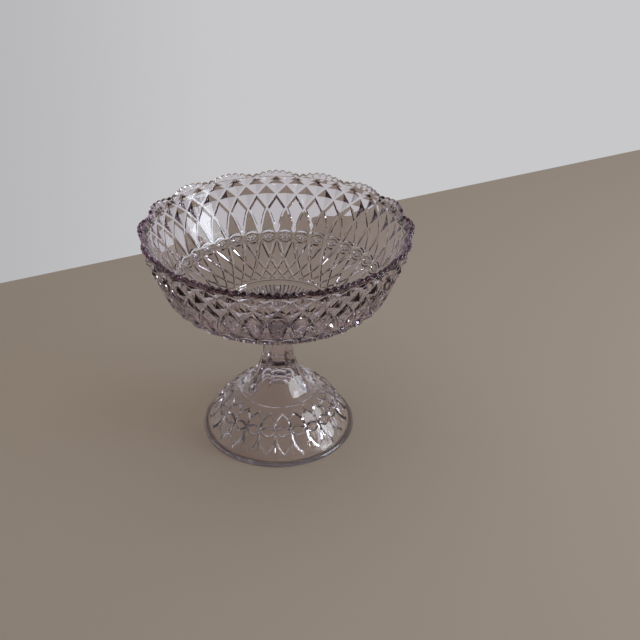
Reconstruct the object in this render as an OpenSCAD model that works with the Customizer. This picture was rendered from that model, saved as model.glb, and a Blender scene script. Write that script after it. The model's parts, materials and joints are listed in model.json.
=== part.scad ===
// Footed compote bowl of pressed glass: a lattice-cut bowl with a scalloped, beaded rim,
// a joining wafer, and a hollow pedestal with a panelled stem. Millimetres, +Z up, the
// foot stands on Z = 0 and the axis of the turning forms is the Z axis.

/* [Bowl] */
// Diameter over the tips of the scalloped rim
rim_d = 220; // [190:2:250]
// Height of the bowl from its seat to the tips of the rim
bowl_h = 90; // [80:1:105]
// Diameter over the grooves at the shoulder, where the wall turns in under the bowl
shoulder_d = 174.4; // [160:0.4:182]
// Height of the shoulder above the seat
shoulder_h = 36.3; // [30:0.1:42]
// Thickness of the wall behind the grooves
wall_t = 5; // [4:0.5:7]
// Thickness of the glass in the middle of the floor
floor_t = 7.5; // [5:0.5:10]
// Diameter of the flat seat under the bowl
seat_d = 42; // [38:1:50]
// Height that the cut facets stand out from their grooves
facet_h = 2.6; // [1:0.1:3]
// Number of lattice columns round the bowl
bowl_columns = 36; // [24:1:44]

/* [Rim] */
// Number of scallops
scallops = 16; // [12:1:20]
// Number of beads on each scallop
beads_per_scallop = 7; // [5:1:8]
// Rise of each scallop from its valley to its tip
scallop_rise = 3.3; // [1:0.1:6]
// Outward lean of each scallop from its valley to its tip
scallop_flare = 3.4; // [1:0.1:5]
// Height of a bead above the notches beside it
bead_rise = 1.4; // [0.6:0.1:2.4]
// Height of the lip below the notches
lip_root_h = 0.4; // [0.2:0.1:1]
// Thickness of the lip that carries the beads
lip_t = 4.4; // [3:0.1:6]
// Height of the plain band between the pattern and the lowest beads
plain_band_h = 0.8; // [0.4:0.1:3]

/* [Joining wafer] */
// Diameter of the wafer
wafer_d = 38; // [32:1:46]
// Thickness of the wafer
wafer_t = 5; // [3:0.5:8]

/* [Stem] */
// Height of the stem from the ring on the foot to the wafer
stem_h = 60.3; // [45:0.1:80]
// Diameter of the neck over the corners of the panels
neck_d = 25.6; // [22:0.2:32]
// Diameter of the flat top of the stem
stem_top_d = 31; // [28:0.5:36]
// Number of flat panels round the stem
stem_panels = 8; // [6:2:12]

/* [Foot] */
// Diameter of the foot over its rolled edge
foot_d = 132.4; // [120:0.4:150]
// Height of the ring where the foot ends and the stem begins
foot_h = 38.2; // [32:0.1:46]
// Diameter of that ring
ring_d = 64.6; // [58:0.2:72]
// Radius of the bead that forms the ring
ring_bead_r = 0.9; // [0.5:0.1:1.4]
// Thickness of the domed wall of the foot
foot_wall_t = 5.5; // [4.5:0.5:7]
// Height of the top of the hollow above the table
hollow_h = 52; // [44:1:56]
// Height of the rolled edge
edge_h = 4; // [3:0.5:6]
// Width of the flat ring that stands on the table
tread_w = 6; // [4:0.5:8]
// Height that the facets stand out on the foot
foot_facet_h = 1.5; // [0.8:0.1:2.2]
// Number of ovals round the foot
foot_columns = 24; // [16:1:30]
// Turn of the foot's pattern against the bowl's
foot_turn = 4.5; // [0:0.5:15]

/* [Hidden] */
$fn = 96;

stem_top_z = foot_h + stem_h;
seat_z = stem_top_z + wafer_t;
shoulder_r = shoulder_d / 2;
rim_r = rim_d / 2;
seat_r = seat_d / 2;
valley_r = rim_r - scallop_flare;
overrun = 1;
lip_base_h = bowl_h - scallop_rise - bead_rise - lip_root_h;
pattern_top_h = lip_base_h - plain_band_h;

// Circles of lattice nodes from the top of the pattern down to the shoulder, as shares of the
// way out from the shoulder to the lip and of the way up
wall_row_shares = [[1, 1], [0.9, 0.885], [0.78, 0.71], [0.57, 0.47]];
// Circles of nodes from the shoulder down to the seat, as shares of the way out and up from it
under_row_shares = [[1, 1], [0.7, 0.63], [0.56, 0.47], [0.47, 0.37], [0.415, 0.315], [0.2, 0.13], [0, 0]];
// Rows of the bowl's profile that carry its smooth inner wall
inner_row_shares = [0.4, 1, 2, 2.6, 3.2, 3.7, 4.1, 4.5, 5, 5.6, 6.4, 7.2];
last_pattern_row = 8;
floor_rings = 5;

bowl_rows = concat(
    [for (s = wall_row_shares) [
        shoulder_r + (valley_r - shoulder_r) * s[0],
        shoulder_h + (pattern_top_h - shoulder_h) * s[1]]],
    [for (s = under_row_shares) [seat_r + (shoulder_r - seat_r) * s[0], shoulder_h * s[1]]]);

// A facetted field of the pattern: shift of its centre line in columns, outline as shares
// of a column and rows of the profile, share of inset of its raised table, share of height.
// An inset share of 1 gives a pointed pyramid.
// The ovals of fine hatching reach this share of a row over and under the shoulder
lens_up_share = 0.16;
lens_down_share = 0.25;
lens_curve_share = 0.75;
lens_top = [
    [-0.25, 4 - lens_up_share * lens_curve_share],
    [0, 4 - lens_up_share],
    [0.25, 4 - lens_up_share * lens_curve_share]];
lens_bottom = [
    [0.25, 4 + lens_down_share * lens_curve_share],
    [0, 4 + lens_down_share],
    [-0.25, 4 + lens_down_share * lens_curve_share]];
function diamond(shift, row, inset, rise) =
    [shift, [[0, row - 1], [0.5, row], [0, row + 1], [-0.5, row]], inset, rise];
bowl_field_shares = [
    [0.5, [[-0.5, 0], [-0.25, 0], [0, 0], [0.25, 0], [0.5, 0], [0, 1]], 1, 0.5],
    diamond(0, 1, 1, 1),
    diamond(0.5, 2, 1, 1),
    [0, [[0, 2], [0.5, 3], [0, 4], [-0.5, 3]], 0.24, 0.7],
    [0.5, concat([[0, 3], [0.5, 4]], reverse(lens_top), [[-0.5, 4]]), 0.24, 0.8],
    [0.5, concat([[-0.5, 4]], lens_top, [[0.5, 4]], lens_bottom), 0.2, 0.8],
    [0.5, concat([[-0.5, 4]], reverse(lens_bottom), [[0.5, 4], [0, 5]]), 0.24, 0.5],
    [0, [[0, 4], [0.5, 5], [0, 6], [-0.5, 5]], 0.24, 0.35],
    diamond(0.5, 6, 0.3, 0.3),
    diamond(0, 7, 0.3, 0.3),
    [0.5, [[0, 7], [0.5, 8], [0, 8], [-0.5, 8]], 0.3, 0.25]];

// The same for the foot, where a row is a share of the way down the dome from ring to edge
dome_top_share = 0.15;
oval_top_share = 0.2;
oval_shoulder_share = 0.29;
node_share = 0.57;
foot_lens_top_share = 0.5;
foot_lens_bottom_share = 0.655;
foot_lens_side_shares = [0.52, 0.635];
lower_curve_shares = [0.3125, 0.74];
oval_bottom_share = 0.85;
dome_bottom_share = 0.93;
foot_lens_top = [
    [-0.25, foot_lens_side_shares[0]],
    [0, foot_lens_top_share],
    [0.25, foot_lens_side_shares[0]]];
foot_lens_bottom = [
    [0.25, foot_lens_side_shares[1]],
    [0, foot_lens_bottom_share],
    [-0.25, foot_lens_side_shares[1]]];
foot_field_shares = [
    [0.5, [
        [-0.5, dome_top_share], [0, dome_top_share], [0.5, dome_top_share],
        [0.5, oval_top_share], [0.25, oval_shoulder_share], [0, node_share],
        [-0.25, oval_shoulder_share], [-0.5, oval_top_share]], 1, 0.1],
    [0, concat(
        [[0, oval_top_share], [0.25, oval_shoulder_share], [0.5, node_share]],
        reverse(foot_lens_top),
        [[-0.5, node_share], [-0.25, oval_shoulder_share]]), 0.25, 1],
    [0, concat([[-0.5, node_share]], foot_lens_top, [[0.5, node_share]], foot_lens_bottom), 0.2, 0.8],
    [0, concat(
        [[-0.5, node_share]],
        reverse(foot_lens_bottom),
        [[0.5, node_share], lower_curve_shares, [0, oval_bottom_share]],
        [[-lower_curve_shares[0], lower_curve_shares[1]]]), 0.25, 0.9],
    [0.5, [
        [0, node_share], [0.5 - lower_curve_shares[0], lower_curve_shares[1]],
        [0.5, oval_bottom_share], [0.5, dome_bottom_share], [0, dome_bottom_share],
        [-0.5, dome_bottom_share], [-0.5, oval_bottom_share],
        [lower_curve_shares[0] - 0.5, lower_curve_shares[1]]], 0.25, 1]];

function reverse(list) = [for (i = [len(list) - 1:-1:0]) list[i]];
function total(list, i = 0) = i == len(list) - 1 ? list[i] : list[i] + total(list, i + 1);
function centre(list) = total(list) / len(list);
function around(turn, r, z) = [-r * sin(turn), r * cos(turn), z];
function on_row(rows, row) =
    let (i = min(floor(row), len(rows) - 2))
    rows[i] + (rows[i + 1] - rows[i]) * (row - i);
function outward(way) = [-way[1], way[0]] / norm(way);

// A point of the bowl's section on a row, moved out by a height along the normal there
function bowl_section(row, height) =
    let (
        reach = 0.5,
        below = on_row(bowl_rows, min(row + reach, len(bowl_rows) - 1)),
        above = on_row(bowl_rows, max(row - reach, 0)))
    on_row(bowl_rows, row) + outward(below - above) * height;

// The facets of one field: a ring of bevels from the grooves up to the table, then the table
function field_facets(outline, table) =
    let (n = len(outline))
    concat(
        [for (i = [0:n - 1]) [outline[i], outline[(i + 1) % n], table[(i + 1) % n]]],
        [for (i = [0:n - 1]) [outline[i], table[(i + 1) % n], table[i]]],
        [for (i = [1:n - 2]) [table[0], table[i], table[i + 1]]]);
function pyramid_facets(outline, apex) =
    let (n = len(outline))
    [for (i = [0:n - 1]) [outline[i], outline[(i + 1) % n], apex]];

// A strip of triangles between two closed rings of points, the first above the second. An edge
// of one ring meets the nearest point of the other, and the rings may differ in their counts.
function met_point(i, n, other_n, coarse) =
    coarse ? ceil((i + 0.5) * other_n / n - 0.5) % other_n : floor((i + 0.5) * other_n / n + 0.5) % other_n;
function strip(upper, lower) =
    let (nu = len(upper), nl = len(lower), coarse = nu <= nl)
    concat(
        [for (i = [0:nu - 1]) [upper[i], upper[(i + 1) % nu], lower[met_point(i, nu, nl, coarse)]]],
        [for (j = [0:nl - 1]) [lower[(j + 1) % nl], lower[j], upper[met_point(j, nl, nu, !coarse)]]]);
function strips(rings) = [for (i = [0:len(rings) - 2]) each strip(rings[i], rings[i + 1])];

module skin(facets) {
    polyhedron(
        points = [for (facet = facets) each facet],
        faces = [for (i = [0:len(facets) - 1]) [3 * i, 3 * i + 1, 3 * i + 2]]);
}

// Share of a scallop's rise at a turn, and of a bead's
function scallop_share(turn) =
    let (place = turn * scallops / 360, off = 2 * (place - round(place)))
    1 - off * off;
function bead_share(turn) =
    let (place = turn * scallops * beads_per_scallop / 360)
    cos(180 * (place - round(place)));

bead_points = 4;
lip_points = scallops * beads_per_scallop * bead_points;
lip_arc_steps = 4;
// The lip is this share slimmer in the notches between beads
notch_share = 0.15;

// A point of the lip: the section is half round, from outside over the top to inside
function lip_point(turn, arc) =
    let (
        s = scallop_share(turn),
        b = bead_share(turn),
        base = lip_base_h + scallop_rise * s,
        mid = valley_r + scallop_flare * s - lip_t / 2,
        half = lip_t / 2 * (1 - notch_share * (1 - b)))
    around(turn, mid + half * cos(arc), seat_z + base + (lip_root_h + bead_rise * b) * sin(arc));
function lip_ring(arc) = [for (i = [0:lip_points - 1]) lip_point(360 * i / lip_points, arc)];

function bowl_point(column, row, height) =
    let (p = bowl_section(row, height), n = bowl_columns)
    around(360 * ((column + n) % n) / n, p[0], seat_z + p[1]);
function bowl_ring(row, height, per_column) =
    [for (i = [0:bowl_columns * per_column - 1]) bowl_point(i / per_column, row, height)];

function bowl_field(column, field) =
    let (
        middle = column + field[0],
        heart = centre(field[1]),
        outline = [for (p = field[1]) bowl_point(middle + p[0], p[1], 0)])
    field[2] == 1
        ? pyramid_facets(outline, bowl_point(middle + heart[0], heart[1], facet_h * field[3]))
        : field_facets(outline, [for (p = field[1])
            let (q = p + (heart - p) * field[2])
            bowl_point(middle + q[0], q[1], facet_h * field[3])]);

// The inner floor is a shallow dish that ends on the last row of the inner wall
function floor_ring(share) =
    let (
        edge = bowl_section(inner_row_shares[len(inner_row_shares) - 1], -wall_t),
        h = floor_t + (edge[1] - floor_t) * share * share)
    [for (i = [0:2 * bowl_columns - 1]) around(180 * i / bowl_columns, edge[0] * share, seat_z + h)];

module bowl() {
    lattice = [for (column = [0:bowl_columns - 1], field = bowl_field_shares)
        each bowl_field(column, field)];
    lip = strips([for (i = [lip_arc_steps:-1:0]) lip_ring(180 * i / lip_arc_steps)]);
    band = strip(lip_ring(0), bowl_ring(0, 0, 4));
    underside = strips([for (row = [last_pattern_row:len(bowl_rows) - 1]) bowl_ring(row, 0, 2)]);
    inner_wall = strips([for (row = reverse(inner_row_shares)) bowl_ring(row, -wall_t, 2)]);
    inner_lip = strip(bowl_ring(inner_row_shares[0], -wall_t, 2), lip_ring(180));
    dish = strips(concat(
        [for (i = [1:floor_rings - 1]) floor_ring(i / floor_rings)],
        [bowl_ring(inner_row_shares[len(inner_row_shares) - 1], -wall_t, 2)]));
    middle_ring = floor_ring(1 / floor_rings);
    seat_ring = bowl_ring(len(bowl_rows) - 1, 0, 2);
    n = 2 * bowl_columns;
    caps = [for (i = [0:n - 1]) each [
        [middle_ring[(i + 1) % n], middle_ring[i], [0, 0, seat_z + floor_t]],
        [seat_ring[i], seat_ring[(i + 1) % n], [0, 0, seat_z]]]];
    color([0.72, 0.64, 0.7, 0.5])
        skin(concat(lattice, lip, band, underside, inner_wall, inner_lip, dish, caps));
}

// Disc of hot glass pressed out between stem and bowl, with a half-round edge
module joining_wafer() {
    color([0.66, 0.58, 0.65, 0.5])
        translate([0, 0, stem_top_z])
            rotate_extrude() {
                square([(wafer_d - wafer_t) / 2, wafer_t]);
                translate([(wafer_d - wafer_t) / 2, wafer_t / 2])
                    intersection() {
                        circle(d = wafer_t);
                        translate([0, -wafer_t / 2])
                            square(wafer_t);
                    }
            }
}

neck_r = neck_d / 2;
ring_r = ring_d / 2;
foot_r = foot_d / 2;
stem_top_r = stem_top_d / 2;
stem_steps = 20;
flare_power = 3.3;
top_power = 9;
// The panels cut this share into the round stem, and fade out where the flare meets the ring
panel_share = 0.93;
fade_share = 0.12;
fade_power = 7;

function stem_radius(share) =
    neck_r + (ring_r - neck_r) * pow(1 - share, flare_power) + (stem_top_r - neck_r) * pow(share, top_power);
function panel_radius(share) = stem_radius(share) * (panel_share + fade_share * pow(1 - share, fade_power));
function stem_side(panel) = [for (i = [panel ? 0 : 1:stem_steps])
    let (share = i / stem_steps)
    [panel ? panel_radius(share) : stem_radius(share), foot_h + stem_h * share]];

// The dome of the foot: an even curve from the ring to the rolled edge
dome_steps = 16;
// Bend of the dome: its control point as shares of the way out and of the way up
dome_bend_shares = [0.46, 0.79];
dome_end = [foot_r - edge_h, edge_h];
dome_start = [ring_r, foot_h];
dome_bend = [
    dome_start[0] + (dome_end[0] - dome_start[0]) * dome_bend_shares[0],
    dome_end[1] + (dome_start[1] - dome_end[1]) * dome_bend_shares[1]];
function bent(a, b, c, t) = a * (1 - t) * (1 - t) + b * 2 * t * (1 - t) + c * t * t;
function bent_way(a, b, c, t) = (b - a) * (1 - t) + (c - b) * t;
function dome_section(share, height) =
    bent(dome_start, dome_bend, dome_end, share)
        + outward(bent_way(dome_start, dome_bend, dome_end, share)) * height;
dome_side = [for (i = [1:dome_steps]) dome_section(i / dome_steps, 0)];
// The ring between them stands out as a bead, round from the stem's side to the dome's
ring_steps = 6;
ring_from = 115;
ring_to = -10;
ring_side = [for (i = [0:ring_steps])
    let (turn = ring_from + (ring_to - ring_from) * i / ring_steps)
    [ring_r + ring_bead_r * cos(turn), foot_h + ring_bead_r * sin(turn)]];
// Rolled edge, as shares of its height in from the outermost line and up from the table
edge_shares = [[0.45, 0.82], [0.15, 0.62], [0, 0.4], [0.03, 0.18], [0.12, 0.05], [0.25, 0]];
edge_side = [for (s = edge_shares) [foot_r - edge_h * s[0], edge_h * s[1]]];

// Plate with the outline of two opposite panels, wide enough below to clear the foot
module panel_plate() {
    side = concat([[foot_r + overrun, -overrun], [foot_r + overrun, foot_h]], stem_side(true));
    rotate([90, 0, 0])
        linear_extrude(2 * (foot_r + overrun), center = true)
            polygon(concat(
                side,
                [for (p = reverse(side)) [-p[0], p[1]]]));
}

// Stem and foot in one: the turned form, with its stem cut to flat panels by crossed plates
module pedestal_form() {
    intersection() {
        rotate_extrude()
            polygon(concat(
                [[0, stem_top_z]],
                reverse(stem_side(false)),
                ring_side,
                dome_side,
                edge_side,
                [[0, 0]]));
        intersection_for(i = [0:stem_panels / 2 - 1])
            rotate(i * 360 / stem_panels)
                panel_plate();
    }
}

// The hollow pressed up into the foot by the plunger: it follows the dome at the thickness of
// the wall, then closes in a rounded top under the stem
hollow_steps = 10;
hollow_dome_shares = [0.95, 0.84, 0.73, 0.62, 0.51, 0.4];
hollow_neck_share = 0.3;
hollow_bend_share = 0.45;
hollow_r = foot_r - edge_shares[len(edge_shares) - 1][0] * edge_h - tread_w;
hollow_neck = dome_section(hollow_neck_share, -foot_wall_t);
hollow_side = concat(
    [[hollow_r, 0]],
    [for (share = hollow_dome_shares) dome_section(share, -foot_wall_t)],
    [for (i = [0:hollow_steps])
        bent(hollow_neck, [hollow_neck[0] * hollow_bend_share, hollow_h], [0, hollow_h], i / hollow_steps)]);

module hollow() {
    rotate_extrude()
        polygon(concat([[0, -overrun], [hollow_r, -overrun]], hollow_side));
}

// Facets of the foot's pattern, as a closed skin that is let into the dome along both borders
facet_root_share = 0.2;
skin_sink = 0.6;
skin_depth = 2;
skin_row_shares = [0.35, 0.55, 0.75];
function foot_point(column, row, height) =
    let (p = dome_section(row, height), n = foot_columns)
    around(360 * ((column + n) % n) / n + foot_turn, p[0], p[1]);
function foot_ring(row, height) = [for (i = [0:2 * foot_columns - 1]) foot_point(i / 2, row, height)];
function is_border(row) = row == dome_top_share || row == dome_bottom_share;
function foot_field(column, field) =
    let (
        middle = column + field[0],
        heart = centre(field[1]),
        root = foot_facet_h * facet_root_share,
        top = root + foot_facet_h * field[3],
        outline = [for (p = field[1]) foot_point(middle + p[0], p[1], is_border(p[1]) ? -skin_sink : root)])
    field[2] == 1
        ? pyramid_facets(outline, foot_point(middle + heart[0], heart[1], top))
        : field_facets(outline, [for (p = field[1])
            let (q = p + (heart - p) * field[2])
            foot_point(middle + q[0], q[1], top)]);

module foot_lattice() {
    lattice = [for (column = [0:foot_columns - 1], field = foot_field_shares)
        each foot_field(column, field)];
    rows = concat([dome_bottom_share], reverse(skin_row_shares), [dome_top_share]);
    back = strips(concat(
        [foot_ring(dome_bottom_share, -skin_sink)],
        [for (row = rows) foot_ring(row, -skin_depth)],
        [foot_ring(dome_top_share, -skin_sink)]));
    skin(concat(lattice, back));
}

module pedestal() {
    color([0.7, 0.62, 0.68, 0.5])
        difference() {
            union() {
                pedestal_form();
                foot_lattice();
            }
            hollow();
        }
}

bowl();
joining_wafer();
pedestal();
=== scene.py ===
"""Footed compote bowl of pale amethyst pressed glass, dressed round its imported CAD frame.

Sizes are in millimetres until a mesh is made. The bowl, the wafer of hot glass under it and the
pedestal are three closed shells. Each is built as one wedge of its pattern, and Geometry Nodes
turn that wedge round the axis.
"""

import json
import logging
import math
from bisect import bisect_right
from collections.abc import Callable, Iterable, Sequence
from dataclasses import dataclass, field
from enum import Enum
from itertools import accumulate

import bmesh
import bpy
from bpy.types import ID, Material, Mesh, Node, NodeSocket, NodeTree, Object
from mathutils import Matrix, Vector
from mathutils.geometry import delaunay_2d_cdt

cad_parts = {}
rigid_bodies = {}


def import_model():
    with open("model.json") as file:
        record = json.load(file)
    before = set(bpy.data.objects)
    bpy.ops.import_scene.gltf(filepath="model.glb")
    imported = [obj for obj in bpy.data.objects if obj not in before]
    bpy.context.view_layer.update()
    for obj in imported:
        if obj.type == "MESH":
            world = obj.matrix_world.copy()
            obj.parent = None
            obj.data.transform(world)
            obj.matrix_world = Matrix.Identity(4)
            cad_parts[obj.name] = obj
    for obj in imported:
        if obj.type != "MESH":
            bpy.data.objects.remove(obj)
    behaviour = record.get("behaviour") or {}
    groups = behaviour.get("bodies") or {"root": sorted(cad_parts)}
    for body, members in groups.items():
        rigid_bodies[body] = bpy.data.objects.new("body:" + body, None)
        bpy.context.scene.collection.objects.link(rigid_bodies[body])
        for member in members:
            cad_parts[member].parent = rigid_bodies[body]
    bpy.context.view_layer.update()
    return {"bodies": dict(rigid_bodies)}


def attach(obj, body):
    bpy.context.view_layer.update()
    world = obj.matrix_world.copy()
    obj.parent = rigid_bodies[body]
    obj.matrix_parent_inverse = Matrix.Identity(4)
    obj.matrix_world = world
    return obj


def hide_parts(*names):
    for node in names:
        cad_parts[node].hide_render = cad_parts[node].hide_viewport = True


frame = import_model()

log = logging.getLogger("compote")

MM = 0.001
WELD = 0.004 * MM
FULL_TURN = 2 * math.pi

Pair = tuple[float, float]
Place = tuple[float, float, float]


# ---------------------------------------------------------------- curves and sections


def smooth_curve(anchors: Sequence[Pair], steps: int) -> list[Pair]:
    """Runs an even curve through all anchors.

    Args:
        anchors: points of a section, in order.
        steps: number of parts between two anchors.

    Returns:
        The curve's points, with every anchor among them.
    """
    padded = [mirrored(anchors[1], anchors[0]), *anchors, mirrored(anchors[-2], anchors[-1])]
    curve = []
    for before, start, end, after in zip(padded, padded[1:], padded[2:], padded[3:]):
        for i in range(steps):
            t = i / steps
            curve.append(tuple(
                0.5 * (2 * s + (e - b) * t + (2 * b - 5 * s + 4 * e - a) * t * t
                       + (3 * s - b - 3 * e + a) * t**3)
                for b, s, e, a in zip(before, start, end, after)))
    return [*curve, tuple(anchors[-1])]


def mirrored(point: Pair, about: Pair) -> Pair:
    """The point on the other side of about."""
    return (2 * about[0] - point[0], 2 * about[1] - point[1])


def bent(start: Pair, bend: Pair, end: Pair, t: float) -> Pair:
    """A point of the curve that leaves start towards bend and reaches end from it."""
    return tuple(a * (1 - t) ** 2 + 2 * b * t * (1 - t) + c * t * t
                 for a, b, c in zip(start, bend, end))


def toward(start: Pair, end: Pair, reach: float) -> Pair:
    """The point that lies a reach from start on the way to end."""
    return part_way(start, end, reach / math.dist(start, end))


def around(turn: float, r: float, z: float) -> Place:
    """The place at a turn, in radians, a radius and a height. Turn 0 is over +Y."""
    return (-r * math.sin(turn), r * math.cos(turn), z)


def ring(r: float, z: float, span: float, parts: int, start: float = 0.0) -> list[Place]:
    """A line of places at one radius and height, over a span of turn."""
    return [around(start + span * i / parts, r, z) for i in range(parts + 1)]


def mix(a: float, b: float, share: float) -> float:
    """The value that lies a share of the way from a to b."""
    return a + (b - a) * share


def shares(parts: int) -> list[float]:
    """The values from 0 to 1 in even steps."""
    return [i / parts for i in range(parts + 1)]


def part_way(a: Pair, b: Pair, share: float) -> Pair:
    """The point that lies a share of the way from a to b."""
    return (mix(a[0], b[0], share), mix(a[1], b[1], share))


def off_way(p: Pair, a: Pair, b: Pair) -> float:
    """How far p lies to the left of the way from a to b, times the length of the way."""
    return (b[0] - a[0]) * (p[1] - a[1]) - (b[1] - a[1]) * (p[0] - a[0])


def on_way(p: Pair, a: Pair, b: Pair) -> float:
    """How far along the way from a to b p lies, times the length of the way."""
    return (p[0] - a[0]) * (b[0] - a[0]) + (p[1] - a[1]) * (b[1] - a[1])


def closed(line: Sequence[tuple[float, ...]]) -> list[tuple[float, ...]]:
    """A line that ends where it began."""
    return [*line, line[0]]


def sides_of(outline: Sequence[tuple[float, ...]]) -> Iterable[tuple]:
    """The sides of an outline, each as its two ends."""
    return zip(outline, closed(outline)[1:])


@dataclass
class Section:
    """One side of a turned form, as a line of (radius, height) points with the solid on its right."""

    points: Sequence[Pair]
    lengths: list[float] = field(init=False)

    def __post_init__(self) -> None:
        """Measures the line up to each point."""
        steps = (math.dist(a, b) for a, b in zip(self.points, self.points[1:]))
        self.lengths = list(accumulate(steps, initial=0.0))

    def at(self, length: float) -> Pair:
        """The point at a length along the line."""
        i = min(max(bisect_right(self.lengths, length) - 1, 0), len(self.points) - 2)
        share = (length - self.lengths[i]) / (self.lengths[i + 1] - self.lengths[i])
        return part_way(self.points[i], self.points[i + 1], share)

    def raised(self, length: float, height: float, reach: float = 1.2) -> Pair:
        """The point at a length, moved out of the solid by a height."""
        r, z = self.at(length)
        before, after = self.at(length - reach), self.at(length + reach)
        along = (after[0] - before[0], after[1] - before[1])
        size = math.hypot(*along)
        return (r - along[1] / size * height, z + along[0] / size * height)


@dataclass
class Pattern:
    """Columns and rows laid round a section."""

    section: Section
    columns: int
    rows: Sequence[float]
    row_lengths: Sequence[float]
    turn: float = 0.0

    def length_of(self, row: float) -> float:
        """The length along the section at a row."""
        i = min(max(bisect_right(self.rows, row) - 1, 0), len(self.rows) - 2)
        share = (row - self.rows[i]) / (self.rows[i + 1] - self.rows[i])
        return mix(self.row_lengths[i], self.row_lengths[i + 1], share)

    def width(self, length: float) -> float:
        """The width of a column at a length."""
        return FULL_TURN * self.section.at(length)[0] / self.columns

    def place(self, column: float, length: float, height: float = 0.0) -> Place:
        """The place of a point of the pattern, raised by a height."""
        r, z = self.section.raised(length, height)
        return around(FULL_TURN * column / self.columns + self.turn, r, z)

    def node(self, column: float, row: float, height: float = 0.0) -> Place:
        """The place of a point that is given by its row."""
        return self.place(column, self.length_of(row), height)

    def line(self, row: float, parts: int, height: float = 0.0, ray: float = 0.0) -> list[Place]:
        """A line across one column at a row, which two rays lift."""
        return [self.node(s, row, height + ray * abs(math.sin(FULL_TURN * s))) for s in shares(parts)]


# ---------------------------------------------------------------- meshes


class Shell:
    """Faces gathered by their corner places, which share a vertex where they meet."""

    GRAIN = 1e-4

    def __init__(self) -> None:
        """Starts with no faces."""
        self.places: list[Place] = []
        self.faces: list[list[int]] = []
        self._known: dict[tuple[int, int, int], int] = {}

    def corner(self, place: Place) -> int:
        """The number of the vertex at a place."""
        key = tuple(round(c / self.GRAIN) for c in place)
        if key not in self._known:
            self._known[key] = len(self.places)
            self.places.append(place)
        return self._known[key]

    def face(self, corners: Iterable[Place]) -> None:
        """Adds a face, unless fewer than three of its corners differ."""
        loop = []
        for c in map(self.corner, corners):
            if c not in loop:
                loop.append(c)
        if len(loop) > 2:
            self.faces.append(loop)

    def strip(self, one: Sequence[Place], other: Sequence[Place]) -> None:
        """Joins two lines of as many points with a row of faces."""
        for a, b, c, d in zip(one, one[1:], other[1:], other):
            self.face((a, b, c, d))

    def strips(self, lines: Sequence[Sequence[Place]]) -> None:
        """Joins each line to the next."""
        for one, other in zip(lines, lines[1:]):
            self.strip(one, other)

    def stitch(self, one: Sequence[Place], other: Sequence[Place]) -> None:
        """Joins two lines of unlike counts with triangles."""
        i = j = 0
        m, n = len(one) - 1, len(other) - 1
        while i < m or j < n:
            if j == n or (i < m and (i + 1) * n <= (j + 1) * m):
                self.face((one[i], one[i + 1], other[j]))
                i += 1
            else:
                self.face((one[i], other[j + 1], other[j]))
                j += 1

    def fan(self, line: Sequence[Place], tip: Place) -> None:
        """Joins a line to one point."""
        for a, b in zip(line, line[1:]):
            self.face((a, b, tip))

    def capped(self, lines: Sequence[Sequence[Place]], z: float) -> None:
        """Joins each line to the next, and the last one to a point of the axis."""
        self.strips(lines)
        self.fan(lines[-1], (0.0, 0.0, z))

    def object(self, name: str) -> Object:
        """Makes the wedge an object, in metres, with its many-sided faces cut to triangles."""
        mesh = bpy.data.meshes.new(name)
        mesh.from_pydata([[c * MM for c in p] for p in self.places], [], self.faces)
        work = bmesh.new()
        work.from_mesh(mesh)
        wide = [f for f in work.faces if len(f.verts) > 4]
        bmesh.ops.triangulate(work, faces=wide, ngon_method="BEAUTY")
        work.to_mesh(mesh)
        work.free()
        return placed(name, mesh)


def placed(name: str, data: ID) -> Object:
    """Makes an object of a mesh, a light or a lens, and puts it in the scene."""
    made = bpy.data.objects.new(name, data)
    bpy.context.scene.collection.objects.link(made)
    return made


def bare_tree(owner: ID) -> NodeTree:
    """Gives a material or a world an empty node tree."""
    owner.use_nodes = True
    owner.node_tree.nodes.clear()
    return owner.node_tree


def turned_array_tree() -> NodeTree:
    """Builds the node tree that turns a wedge round the Z axis.

    Returns:
        A tree with the inputs Geometry, Count, Weld and Material.
    """
    tree = bpy.data.node_groups.new("Turned array", "GeometryNodeTree")
    kinds = {"Geometry": "Geometry", "Count": "Int", "Weld": "Float", "Material": "Material"}
    for name, kind in kinds.items():
        tree.interface.new_socket(name, in_out="INPUT", socket_type=f"NodeSocket{kind}")
    tree.interface.new_socket("Geometry", in_out="OUTPUT", socket_type="NodeSocketGeometry")
    given = add_node(tree, "NodeGroupInput").outputs
    spots = add_node(tree, "GeometryNodePoints", {"Count": given["Count"]})
    index = add_node(tree, "GeometryNodeInputIndex")
    step = add_node(tree, "ShaderNodeMath", {0: FULL_TURN, 1: given["Count"]}, operation="DIVIDE")
    turn = add_node(tree, "ShaderNodeMath", {0: index, 1: step}, operation="MULTIPLY")
    way = add_node(tree, "ShaderNodeCombineXYZ", {"Z": turn})
    copies = add_node(tree, "GeometryNodeInstanceOnPoints", {
        "Points": spots, "Instance": given["Geometry"], "Rotation": way})
    real = add_node(tree, "GeometryNodeRealizeInstances", {"Geometry": copies})
    whole = add_node(tree, "GeometryNodeMergeByDistance", {"Geometry": real, "Distance": given["Weld"]})
    dressed = add_node(tree, "GeometryNodeSetMaterial", {
        "Geometry": whole, "Material": given["Material"]})
    add_node(tree, "NodeGroupOutput", {0: dressed})
    return tree


def add_node(tree: NodeTree, kind: str, inputs: dict | None = None, **settings: str) -> Node:
    """Adds a node with its settings, values and links.

    Args:
        tree: the tree that gets the node.
        kind: the node's type name.
        inputs: what each input gets, by the input's name or number: a value, another node's
            socket, or another node for its first output.
        settings: properties of the node, by name.

    Returns:
        The new node.
    """
    node = tree.nodes.new(kind)
    for name, value in settings.items():
        setattr(node, name, value)
    for name, given in (inputs or {}).items():
        source = given.outputs[0] if isinstance(given, Node) else given
        if isinstance(source, NodeSocket):
            tree.links.new(source, node.inputs[name])
        else:
            node.inputs[name].default_value = source
    return node


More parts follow.
